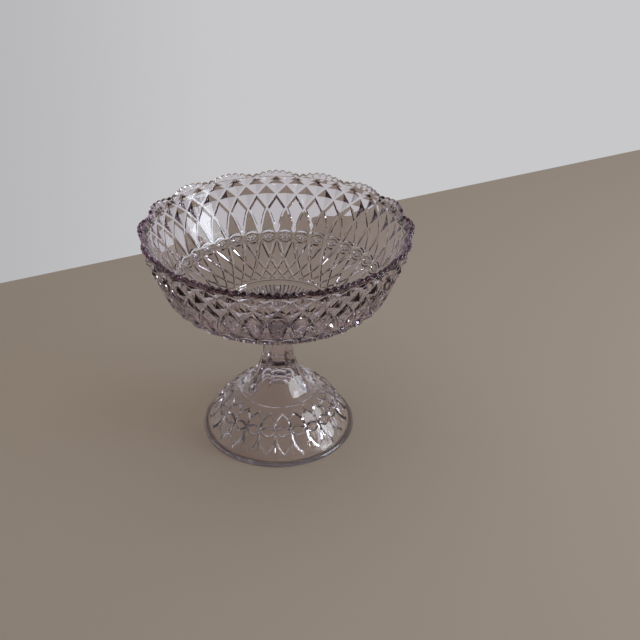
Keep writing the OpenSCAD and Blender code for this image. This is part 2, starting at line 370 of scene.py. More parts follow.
def turned(wedge: Object, count: int, tree: NodeTree, finish: Material) -> Mesh:
    """Turns a wedge round the axis.

    Args:
        wedge: one repeat of the form. It is removed.
        count: number of repeats in a full turn.
        tree: the tree that turned_array_tree made.
        finish: the material that the tree sets.

    Returns:
        The whole ring as a plain mesh.
    """
    wedge.data.materials.append(finish)
    modifier = wedge.modifiers.new("Turned array", "NODES")
    modifier.node_group = tree
    wanted = {"Count": count, "Weld": WELD, "Material": finish}
    for item in tree.interface.items_tree:
        if item.in_out == "INPUT" and item.name in wanted:
            modifier[item.identifier] = wanted[item.name]
    seen = wedge.evaluated_get(bpy.context.evaluated_depsgraph_get())
    mesh = bpy.data.meshes.new_from_object(seen)
    old = wedge.data
    bpy.data.objects.remove(wedge)
    bpy.data.meshes.remove(old)
    return mesh


def closed_piece(name: str, parts: Sequence[Mesh], finish: Material, crease_deg: float) -> Object:
    """Joins rings that meet edge to edge into one closed solid.

    Args:
        name: the piece's name.
        parts: the rings. They are removed.
        finish: the piece's material.
        crease_deg: faces that meet at a larger angle keep a sharp edge.

    Returns:
        The piece, with its faces outward.
    """
    work = bmesh.new()
    for part in parts:
        work.from_mesh(part)
        bpy.data.meshes.remove(part)
    bmesh.ops.remove_doubles(work, verts=work.verts, dist=WELD)
    bmesh.ops.recalc_face_normals(work, faces=work.faces)
    if work.calc_volume(signed=True) < 0:
        bmesh.ops.reverse_faces(work, faces=work.faces)
    open_edges = sum(1 for e in work.edges if not e.is_manifold)
    for f in work.faces:
        f.smooth = True
        f.material_index = 0
    mesh = bpy.data.meshes.new(name)
    work.to_mesh(mesh)
    work.free()
    mesh.set_sharp_from_angle(angle=math.radians(crease_deg))
    mesh.materials.append(finish)
    piece = placed(name, mesh)
    log.info("%s: %d faces, %d open edges", name, len(mesh.polygons), open_edges)
    return piece


# ---------------------------------------------------------------- the cut-like pattern


class Cut(Enum):
    """How a field of the pattern is formed inside its grooves."""

    PYRAMID = "pyramid"
    TABLE = "table"
    HATCHED = "hatched"


@dataclass(frozen=True)
class Facet:
    """One field of the pattern, with its outline in columns and rows."""

    shift: float
    outline: tuple[Pair, ...]
    cut: Cut
    rise: Pair
    bevels: tuple[float, ...] = (0.0,)
    crown: float = 0.0
    tip: Pair | None = None
    groove: float = 1.0

    def border(self, groove: float) -> list[float]:
        """How far the table lies in from each side of the outline."""
        bevels = self.bevels * len(self.outline) if len(self.bevels) == 1 else self.bevels
        return [groove + b for b in bevels]


def signed_area(points: Sequence[Pair]) -> float:
    """Twice the area inside the points, above zero if they run anticlockwise."""
    return sum(a[0] * b[1] - b[0] * a[1] for a, b in sides_of(points))


def inset(points: Sequence[Pair], margins: Sequence[float]) -> list[Pair]:
    """Moves every side of an outline inwards.

    Args:
        points: the outline's corners.
        margins: how far each side moves, beginning with the side after the first corner.

    Returns:
        As many corners, where the moved sides meet.
    """
    turn = 1 if signed_area(points) > 0 else -1
    least_bend, least_open = 0.12, 0.15
    moved = []
    n = len(points)
    for i, p in enumerate(points):
        ways = []
        for a, b in ((points[i - 1], p), (p, points[(i + 1) % n])):
            size = math.dist(a, b)
            ways.append((-(b[1] - a[1]) / size * turn, (b[0] - a[0]) / size * turn))
        (ax, ay), (bx, by) = ways
        before, after = margins[i - 1], margins[i]
        cross = ax * by - ay * bx
        if abs(cross) > least_bend:
            moved.append((p[0] + (before * by - after * ay) / cross,
                          p[1] + (after * ax - before * bx) / cross))
        else:
            scale = (before + after) / 2 / max(1 + ax * bx + ay * by, least_open)
            moved.append((p[0] + (ax + bx) * scale, p[1] + (ay + by) * scale))
    return moved


def clipped(points: Sequence[Pair], frame_points: Sequence[Pair]) -> list[Pair]:
    """The part of a many-sided shape inside a convex outline.

    Args:
        points: the shape's corners.
        frame_points: the outline's corners.

    Returns:
        The corners of what is left, or none.
    """
    turn = 1 if signed_area(frame_points) > 0 else -1
    left = list(points)
    for a, b in sides_of(frame_points):
        if not left:
            break
        sides = [turn * off_way(p, a, b) for p in left]
        kept = []
        for i, p in enumerate(left):
            q, s, t = left[i - 1], sides[i], sides[i - 1]
            if (s >= 0) != (t >= 0):
                kept.append(part_way(q, p, t / (t - s)))
            if s >= 0:
                kept.append(p)
        left = kept
    return left


def divided(corners: Sequence[Pair], counts: Sequence[int]) -> list[Pair]:
    """The corners of an outline and the points that divide its sides."""
    return [part_way(a, b, i / n) for (a, b), n in zip(sides_of(corners), counts) for i in range(n)]


def depth_in(point: Pair, edge: Sequence[Pair]) -> float:
    """How far a point lies inside an outline, or below zero outside it."""
    inside, near = False, math.inf
    for a, b in sides_of(edge):
        if (a[1] > point[1]) != (b[1] > point[1]):
            if point[0] < mix(a[0], b[0], (point[1] - a[1]) / (b[1] - a[1])):
                inside = not inside
        share = min(max(on_way(point, a, b) / math.dist(a, b) ** 2, 0.0), 1.0)
        near = min(near, math.dist(point, part_way(a, b, share)))
    return near if inside else -near


def note_border(
    loop: Sequence[Pair], table: Sequence[Pair], border: list[list[tuple[float, Pair]]],
) -> None:
    """Notes the points of a cell that lie on the sides of the field's border.

    Args:
        loop: the cell's corners.
        table: the corners of the field's border.
        border: for each side, its points and how far along it they lie. It grows by the new ones.
    """
    near = 1e-5
    for (a, b), known in zip(sides_of(table), border):
        size = math.dist(a, b)
        for p in loop:
            far = on_way(p, a, b) / size
            if abs(off_way(p, a, b)) / size < near < far < size - near:
                if all(abs(far - other) > near for other, _ in known):
                    known.append((far, p))


@dataclass
class Cutter:
    """Forms facets on a pattern."""

    pattern: Pattern
    shell: Shell
    groove_share: float
    long_rows: dict[int, int]
    hatch_pitch: float
    hatch_rise: float
    cushion_rise: float
    hatch_line: float = 0.2
    table_grain: float = 3.0
    table_clear: float = 0.35
    groove_depth: float = 0.0
    level_rows: tuple[float, ...] = ()

    def cut(self, facet: Facet) -> None:
        """Forms one facet of the first column, inside the groove that it shares with its neighbours."""
        middle = facet.shift
        pattern = self.pattern
        lengths = [pattern.length_of(row) for _, row in facet.outline]
        flat = [(x * pattern.width(v), v) for (x, _), v in zip(facet.outline, lengths)]
        groove = facet.groove * self.groove_share * pattern.width(sum(lengths) / len(lengths)) / 2
        counts = [self.parts(a, b) for a, b in sides_of(facet.outline)]
        outer = [pattern.node(middle + x, row, 0.0 if row in self.level_rows else -self.groove_depth)
                 for x, row in divided(facet.outline, counts)]
        rim = divided(inset(flat, [groove] * len(flat)), counts)
        low = [self.raised(middle, p, 0.0) for p in rim]
        self.shell.strip(closed(outer), closed(low))
        if facet.cut is Cut.PYRAMID:
            self.shell.fan(closed(low), self.raised(middle, self.tip(facet, flat), facet.rise[0]))
            return
        table = inset(flat, facet.border(groove))
        if facet.cut is Cut.TABLE:
            self.table(facet, middle, low, divided(table, counts))
        else:
            self.hatch(middle, low, table, facet.rise[0])

    def tip(self, facet: Facet, flat: Sequence[Pair]) -> Pair:
        """The point of a pyramid: the one that is given, or the middle of its widest row."""
        if facet.tip:
            length = self.pattern.length_of(facet.tip[1])
            return (facet.tip[0] * self.pattern.width(length), length)
        left, right = min(flat), max(flat)
        return ((left[0] + right[0]) / 2, (left[1] + right[1]) / 2)

    def table(self, facet: Facet, middle: float, low: Sequence[Place], edge: Sequence[Pair]) -> None:
        """Forms a table that is crowned along its height, and the bevel round it.

        Args:
            facet: the field.
            middle: its centre line, in columns.
            low: the line at the foot of the bevel.
            edge: the table's outline, in millimetres, with a point for each of low.
        """
        us, vs = [u for u, _ in edge], [v for _, v in edge]
        top, bottom = min(vs), max(vs)

        def place(point: Pair) -> Place:
            """The place of a point of the table."""
            t = (point[1] - top) / (bottom - top)
            return self.raised(middle, point, mix(*facet.rise, t + facet.crown * t * (1 - t)))

        high = [place(p) for p in edge]
        self.shell.strip(closed(low), closed(high))
        if not facet.crown:
            self.shell.face(high)
            return
        inner = []
        count = round((bottom - top) / self.table_grain)
        for k in range(1, count):
            v = mix(top, bottom, k / count)
            across = max(2, round((max(us) - min(us)) / self.table_grain))
            inner += [(mix(min(us), max(us), (i + 0.5 * (k % 2)) / across), v) for i in range(across)]
        inner = [p for p in inner if depth_in(p, edge) > self.table_grain * self.table_clear]
        points = [Vector(p) for p in (*edge, *inner)]
        loop = list(range(len(edge)))
        found, _, faces, known, _, _ = delaunay_2d_cdt(points, [], [loop], 1, 1e-6)
        places = [high[k[0]] if k and k[0] < len(edge) else place(tuple(p))
                  for p, k in zip(found, known)]
        for face in faces:
            self.shell.face([places[i] for i in face])

    def parts(self, a: Pair, b: Pair) -> int:
        """Number of parts of a side of an outline: more than one on a whole row that is long."""
        whole = abs(a[1] - b[1]) > 0.99
        return self.long_rows.get(int(min(a[1], b[1])), 1) if whole else 1

    def raised(self, middle: float, point: Pair, height: float) -> Place:
        """The place of a point that is given in millimetres from the field's centre line."""
        return self.pattern.place(middle + point[0] / self.pattern.width(point[1]), point[1], height)

    def hatch(self, middle: float, low: Sequence[Place], table: Sequence[Pair], rise: float) -> None:
        """Covers a convex field with crossed fine grooves between small points.

        Args:
            middle: the field's centre line, in columns.
            low: the line at the foot of the field's border.
            table: the field's border, in millimetres.
            rise: height of the border above the grooves of the pattern.
        """
        us, vs = [p[0] for p in table], [p[1] for p in table]
        centre = ((min(us) + max(us)) / 2, (min(vs) + max(vs)) / 2)
        half = ((max(us) - min(us)) / 2, (max(vs) - min(vs)) / 2)

        def lifted(p: Pair, more: float = 0.0) -> Place:
            """A place on the cushion that carries the hatching."""
            far = ((p[0] - centre[0]) / half[0]) ** 2 + ((p[1] - centre[1]) / half[1]) ** 2
            return self.raised(middle, p, rise + self.cushion_rise * max(0.0, 1 - far) + more)

        step = self.hatch_pitch / math.sqrt(2)
        reach = math.ceil((half[0] + half[1]) / step) + 1
        border: list[list[tuple[float, Pair]]] = [[] for _ in table]
        whole, speck = 2 * step * step, 1e-6
        for i in range(-reach, reach):
            for j in range(-reach, reach):
                cell = [(centre[0] + (a - b) * step, centre[1] + (a + b) * step)
                        for a, b in ((i, j), (i + 1, j), (i + 1, j + 1), (i, j + 1))]
                loop = clipped(cell, table)
                size = abs(signed_area(loop)) / 2 if len(loop) > 2 else 0
                if size < speck:
                    continue
                note_border(loop, table, border)
                peak = (sum(p[0] for p in loop) / len(loop), sum(p[1] for p in loop) / len(loop))
                tip = lifted(peak, self.hatch_rise * math.sqrt(size / whole))
                foot = closed([lifted(part_way(p, peak, self.hatch_line)) for p in loop])
                self.shell.strip(closed([lifted(p) for p in loop]), foot)
                self.shell.fan(foot, tip)
        for (a, b), (start, end), known in zip(sides_of(table), sides_of(low), border):
            between = [lifted(p) for _, p in sorted(known, reverse=True)]
            self.shell.face([start, end, lifted(b), *between, lifted(a)])


# ---------------------------------------------------------------- glass


def linear(hex_colour: str) -> tuple[float, float, float, float]:
    """Turns an sRGB hex colour to the linear values that nodes take."""
    parts = [int(hex_colour[i:i + 2], 16) / 255 for i in (1, 3, 5)]
    return (*(c / 12.92 if c <= 0.04045 else ((c + 0.055) / 1.055) ** 2.4 for c in parts), 1.0)


@dataclass(frozen=True)
class PressedGlass:
    """Soda-lime glass with manganese that the sun has tinted, pressed hot and fire polished.

    The fire polish gives a wet gloss with a faint ripple from the mould, and the colour is only
    seen where light runs a long way through the glass.
    """

    name: str
    skin_hex: str = "#FCFAFB"
    skin_deep_hex: str = "#F6F1F5"
    body_hex: str = "#C79AB5"
    body_density: float = 14.0
    ior: float = 1.5
    swirl_mm: float = 30.0
    haze_mm: float = 14.0
    haze_range: Pair = (0.42, 0.75)
    ripple_mm: float = 9.0
    ripple_depth_mm: float = 0.02
    roughness: Pair = (0.0, 0.035)
    # Height of the ground ring's matt wear and of its painted contact shade
    worn_and_shaded_below_mm: float = 0.0
    worn_roughness: float = 0.25
    shadow_hex: str = "#E7E4E0"
    # Colour of the painted contact shade at the bottom of the standing ring
    contact_shade_hex: str = "#8C7E74"
    # Painted shade on the lip's near side: the height it starts at, its spread along Y and its colour
    rim_shade_above_mm: float = 0.0
    rim_shade_side_mm: Pair = (80.0, 0.0)
    rim_shade_hex: str = "#9A7890"

    def material(self) -> Material:
        """Builds the material."""
        made = bpy.data.materials.new(self.name)
        tree = bare_tree(made)
        where = add_node(tree, "ShaderNodeTexCoord").outputs["Object"]
        # A gather's swirls of slightly deeper tint, the mould's ripple, and handling haze in patches
        swirl, ripple, haze = (
            add_node(tree, "ShaderNodeTexNoise", {
                "Vector": where, "Scale": 1 / (size * MM), "Detail": detail, "Roughness": fine})
            for size, detail, fine in (
                (self.swirl_mm, 2.0, 0.5), (self.ripple_mm, 1.0, 0.5), (self.haze_mm, 5.0, 0.65)))
        skin = add_node(tree, "ShaderNodeMix", {
            0: swirl, 6: linear(self.skin_hex), 7: linear(self.skin_deep_hex)},
            data_type="RGBA").outputs[2]
        bump = add_node(tree, "ShaderNodeBump", {
            "Height": ripple, "Strength": 1.0, "Distance": self.ripple_depth_mm * MM})
        ends = zip(("From Min", "From Max", "To Min", "To Max"), (*self.haze_range, *self.roughness))
        rough = add_node(tree, "ShaderNodeMapRange", {"Value": haze, **dict(ends)})
        if self.worn_and_shaded_below_mm or self.rim_shade_above_mm:
            axes = add_node(tree, "ShaderNodeSeparateXYZ", {0: where}).outputs
        if self.worn_and_shaded_below_mm:
            # The ring is ground matt, and its lowest part is darkened: painted contact shade where it
            # stands on the table
            top = self.worn_and_shaded_below_mm * MM
            worn = add_node(tree, "ShaderNodeMapRange", {
                "Value": axes["Z"], "From Min": top, "From Max": 0.0, "To Max": self.worn_roughness})
            rough = add_node(tree, "ShaderNodeMath", {0: rough, 1: worn}, operation="ADD")
            shaded_ring = add_node(tree, "ShaderNodeMapRange", {
                "Value": axes["Z"], "From Min": 0.8 * top, "From Max": 0.4 * top})
            skin = add_node(tree, "ShaderNodeMix", {
                0: shaded_ring, 6: skin, 7: linear(self.contact_shade_hex)}, data_type="RGBA").outputs[2]
        if self.rim_shade_above_mm:
            # Painted shade: the lip is darkened to a deeper tint on its near side, towards -Y and the
            # camera
            above = (self.rim_shade_above_mm, self.rim_shade_above_mm + 2)
            high, side = (
                add_node(tree, "ShaderNodeMapRange", {
                    "Value": axes[axis], "From Min": start * MM, "From Max": end * MM},
                    interpolation_type="SMOOTHSTEP")
                for axis, (start, end) in (("Z", above), ("Y", self.rim_shade_side_mm)))
            share = add_node(tree, "ShaderNodeMath", {0: high, 1: side}, operation="MULTIPLY")
            skin = add_node(tree, "ShaderNodeMix", {
                0: share, 6: skin, 7: linear(self.rim_shade_hex)}, data_type="RGBA").outputs[2]
        glass = add_node(tree, "ShaderNodeBsdfPrincipled", {
            "Base Color": skin, "Roughness": rough, "Normal": bump, "IOR": self.ior,
            "Transmission Weight": 1.0})
        # The light that glass bends on to the table, spread evenly
        lit = add_node(tree, "ShaderNodeBsdfTransparent", {"Color": linear(self.shadow_hex)})
        ray = add_node(tree, "ShaderNodeLightPath").outputs["Is Shadow Ray"]
        surface = add_node(tree, "ShaderNodeMixShader", {0: ray, 1: glass, 2: lit})
        body = add_node(tree, "ShaderNodeVolumeAbsorption", {
            "Color": linear(self.body_hex), "Density": self.body_density})
        add_node(tree, "ShaderNodeOutputMaterial", {"Surface": surface, "Volume": body})
        return made


# ---------------------------------------------------------------- the bowl


OVAL_PARTS = 8
OVAL_POWER = 1.9


def flipped(points: Sequence[Pair]) -> list[Pair]:
    """The same points on the other side of the centre line, from last to first."""
    return [(-x, row) for x, row in reversed(points)]


def level_side(row: float, parts: int = 4) -> list[Pair]:
    """A level side of a field, from left to right."""
    return [(share - 0.5, row) for share in shares(parts)]


def oval_side(up: float, row: float, half_share: float = 0.5) -> list[Pair]:
    """Half an oval's outline, from its left tip to its right one, without the tips.

    Args:
        up: how far its middle lies from the row of its tips, in rows, below zero for upwards.
        row: the row of its tips.
        half_share: half its width, in columns.

    Returns:
        Points in columns and rows.
    """
    points = []
    for i in range(1, OVAL_PARTS):
        x = -1 + 2 * i / OVAL_PARTS
        points.append((x * half_share, row + up * (1 - abs(x) ** OVAL_POWER)))
    return points


@dataclass
class Bowl:
    """The bowl: a lattice outside, a smooth wall inside and a beaded lip in scallops."""

    seat_z: float = 103.5
    rows: tuple[Pair, ...] = (
        (106.6, 84.1), (104.66, 78.6), (102.33, 70.24), (98.26, 58.77), (87.2, 36.3), (67.34, 22.87),
        (58.07, 17.06), (52.11, 13.43), (48.47, 11.43), (34.24, 4.72), (21.0, 0.0))
    columns: int = 36
    wall_t: float = 5.0
    floor_t: float = 7.5
    scallops: int = 16
    beads_per_scallop: int = 7
    scallop_rise: float = 2.1
    scallop_flare: float = 3.4
    bead_rise: float = 1.9
    lip_root_h: float = 0.4
    lip_base_h: float = 85.6
    lip_t: float = 4.4
    notch_share: float = 0.26
    bead_points: int = 8
    lip_arc_steps: int = 12
    oval_up: float = -0.16
    oval_down: float = 0.25
    last_row: int = 8
    shoulder_row: int = 4
    shoulder_reach: float = 2.5
    gothic_power: float = 0.78
    lobe_softness: float = 0.4
    lip_rows: tuple[float, ...] = (0.3, 0.6, 0.85)
    inner_top_share: float = 0.4
    bend_share: float = 0.45
    # Rows under the lattice, some with a rise and the rise of their rays
    under_rows: tuple[tuple[float, ...], ...] = (
        (8,), (8.06,), (8.09, 0.9), (8.15, 1.1), (8.21, 0.9), (8.24,), (8.34,),
        (8.42, 0, 1.3), (8.7, 0, 1.3), (9, 0, 1.3), (9.4, 0, 0.78), (9.55,), (9.8,), (10,))
    ring_parts: int = 4
    pattern: Pattern = field(init=False)

    def __post_init__(self) -> None:
        """Lays the pattern round the bowl's section."""
        curve_steps = 12
        lifted = [(r, self.seat_z + z) for r, z in self.rows]
        section = Section(smooth_curve(lifted, curve_steps))
        self.pattern = Pattern(
            section, self.columns, list(range(len(self.rows))),
            [section.lengths[i * curve_steps] for i in range(len(self.rows))])

    def facets(self) -> list[Facet]:
        """The fields of one column, from the lip down."""
        top = oval_side(self.oval_up, 4)
        bottom = oval_side(self.oval_down, 4)[::-1]

        def diamond(shift: float, row: int, rise: float, bevel: float = 0.0) -> Facet:
            """A diamond about a row, pointed or with a flat table inside a bevel."""
            outline = ((0, row - 1), (0.5, row), (0, row + 1), (-0.5, row))
            return Facet(shift, outline, Cut.TABLE if bevel else Cut.PYRAMID, (rise, rise), (bevel,))

        # The long kite and the arch beside it share a side that bends like a gothic arch
        parts = 5
        bend = [(0.5 * (k / parts) ** self.gothic_power, 3 + k / parts) for k in range(1, parts)]
        right = [(0.5 - x, row) for x, row in bend]
        arc = OVAL_PARTS
        return [
            Facet(0.5, (*level_side(0), (0, 1)), Cut.PYRAMID, (1.9, 1.9), tip=(0, 0.16), groove=0.25),
            diamond(0, 1, 2.7),
            diamond(0.5, 2, 2.8),
            Facet(0, ((0, 2), (0.5, 3), *right, (0, 4), *flipped(right), (-0.5, 3)), Cut.TABLE,
                  (2.0, 0.05), (2.1, *[0.5] * (2 * parts), 2.1), crown=-0.35, groove=0.78),
            Facet(0.5, ((0, 3), *bend, (0.5, 4), *reversed(top), (-0.5, 4), *flipped(bend)), Cut.TABLE,
                  (0.05, 2.4), (*[0.45] * parts, *[0.95] * arc, *[0.45] * parts), crown=0.9),
            Facet(0.5, ((-0.5, 4), *top, (0.5, 4), *bottom), Cut.HATCHED, (0.9, 0.9), (0.5,)),
            Facet(0.5, ((-0.5, 4), *reversed(bottom), (0.5, 4), (0, 5)), Cut.TABLE, (1.9, 1.8),
                  (*[1.1] * arc, 0.65, 0.65)),
            Facet(0, ((0, 4), (0.5, 5), (0, 6), (-0.5, 5)), Cut.TABLE,
                  (2.1, 1.5), (0.75, 0.6, 0.6, 0.75)),
            diamond(0.5, 6, 1.4, 0.5),
            diamond(0, 7, 1.2, 0.45),
            Facet(0.5, ((0, 7), *level_side(self.last_row)[::-1]), Cut.TABLE, (0.9, 0.9), (0.35,)),
        ]

    def column(self) -> Object:
        """Builds one column of the bowl, outside and inside."""
        shell = Shell()
        cutter = Cutter(self.pattern, shell, groove_share=0.105, long_rows={4: 5},
                        hatch_pitch=2.0, hatch_rise=0.55, cushion_rise=1.7)
        for facet in self.facets():
            cutter.cut(facet)
        under = [self.pattern.line(row, self.ring_parts, *lift) for row, *lift in self.under_rows]
        shell.capped(under, self.seat_z)
        inner = [ring(r, z, FULL_TURN / self.columns, self.ring_parts) for r, z in self.inner_side()]
        shell.capped(inner, self.seat_z + self.floor_t)
        return shell.object("bowl_column")

    def inner_side(self) -> list[Pair]:
        """The smooth inner wall, which a plunger forms: straight flanks that bend at the shoulder."""
        nodes = [(r, self.seat_z + z) for r, z in self.rows[:self.last_row]]
        moved = []
        padded = [mirrored(nodes[1], nodes[0]), *nodes, nodes[-1]]
        for before, node, after in zip(padded, nodes, padded[2:]):
            ways = [((b[0] - a[0]) / math.dist(a, b), (b[1] - a[1]) / math.dist(a, b))
                    for a, b in ((before, node), (node, after)) if a != b]
            way = (sum(w[0] for w in ways), sum(w[1] for w in ways))
            scale = self.wall_t * len(ways) / (way[0] ** 2 + way[1] ** 2)
            moved.append((node[0] + way[1] * scale, node[1] - way[0] * scale))
        side = [part_way(moved[0], moved[1], self.inner_top_share)]
        for i, (before, node, after) in enumerate(zip(moved, moved[1:], moved[2:]), 1):
            reach, steps = self.bend_share * min(math.dist(before, node), math.dist(node, after)), 4
            if i == self.shoulder_row:
                reach, steps = self.shoulder_reach, 10
            start, end = toward(node, before, reach), toward(node, after, reach)
            side += [bent(start, node, end, share) for share in shares(steps)]
        edge_r, edge_z = side[-1]
        floor_z = self.seat_z + self.floor_t
        dish_steps = 8
        side += [(edge_r * k / dish_steps, floor_z + (edge_z - floor_z) * (k / dish_steps) ** 2)
                 for k in range(dish_steps - 1, 0, -1)]
        return side

    def lip_place(self, turn: float, arc: float) -> Place:
        """A point of the lip, whose section is half round from outside over the top to inside.

        Args:
            turn: the turn round the axis, in radians.
            arc: the turn over the lip's section, 0 outside and pi inside.

        Returns:
            The place, in millimetres.
        """
        scallop = turn * self.scallops / FULL_TURN
        off = 2 * (scallop - round(scallop))
        lobe = mix(1 - off * off, (1 + math.cos(math.pi * off)) / 2, self.lobe_softness)
        bead = turn * self.scallops * self.beads_per_scallop / FULL_TURN
        knob = math.cos(math.pi * (bead - round(bead)))
        half = self.lip_t / 2 * (1 - self.notch_share * (1 - knob))
        middle = self.rows[0][0] + self.scallop_flare * lobe - self.lip_t / 2
        z = self.seat_z + self.lip_base_h + self.scallop_rise * lobe
        top = self.lip_root_h + self.bead_rise * knob
        return around(turn, middle + half * math.cos(arc), z + top * math.sin(arc))

    def scallop(self) -> Object:
        """Builds one scallop of the lip, from tip to tip."""
        shell = Shell()
        fine = self.beads_per_scallop * self.bead_points
        step = FULL_TURN / self.scallops
        turns = [step * i / fine for i in range(fine + 1)]
        arcs = [[self.lip_place(t, math.pi * k / self.lip_arc_steps) for t in turns]
                for k in range(self.lip_arc_steps + 1)]
        shell.strips(arcs)
        coarse = self.columns * self.ring_parts // self.scallops
        for arc, start in ((arcs[0], self.pattern.section.at(0.0)), (arcs[-1], self.inner_side()[0])):
            lines = [arc, *([around(t, *part_way((math.hypot(x, y), z), start, share))
                             for t, (x, y, z) in zip(turns, arc)] for share in self.lip_rows)]
            shell.strips(lines)
            span = FULL_TURN * coarse / self.ring_parts / self.columns
            shell.stitch(lines[-1], ring(*start, span, coarse))
        return shell.object("bowl_scallop")

    def build(self, tree: NodeTree, finish: Material) -> Object:
        """Builds the bowl's solid."""
        parts = [turned(self.column(), self.columns, tree, finish),
                 turned(self.scallop(), self.scallops, tree, finish)]
        return closed_piece("pressed_bowl", parts, finish, crease_deg=14)


# ---------------------------------------------------------------- the wafer


@dataclass
class JoiningWafer:
    """The disc of hot glass that was squeezed out between bowl and pedestal."""

    bottom_z: float = 98.5
    top_z: float = 103.5
    outer_r: float = 19.0
    face_r: float = 15.0
    sink: float = 0.25
    count: int = 24

    def build(self, tree: NodeTree, finish: Material) -> Object:
        """Builds the wafer. It sinks a little into both pressings, as fused glass does."""
        shell = Shell()
        low, high = self.bottom_z - self.sink, self.top_z + self.sink
        half = (self.top_z - self.bottom_z) / 2
        middle = (self.top_z + self.bottom_z) / 2
        side = [(self.face_r, low)]
        side += [(self.outer_r - half + half * math.cos(a), middle + half * math.sin(a))
                 for a in (math.radians(-80 + 16 * i) for i in range(11))]
        side.append((self.face_r, high))
        lines = [ring(r, z, FULL_TURN / self.count, 4) for r, z in side]
        shell.strips(lines)
        for line, z in ((lines[0], low), (lines[-1], high)):
            shell.fan(line, (0.0, 0.0, z))
        disc = turned(shell.object("wafer_wedge"), self.count, tree, finish)
        return closed_piece("fused_wafer", [disc], finish, crease_deg=35)


# ---------------------------------------------------------------- the pedestal


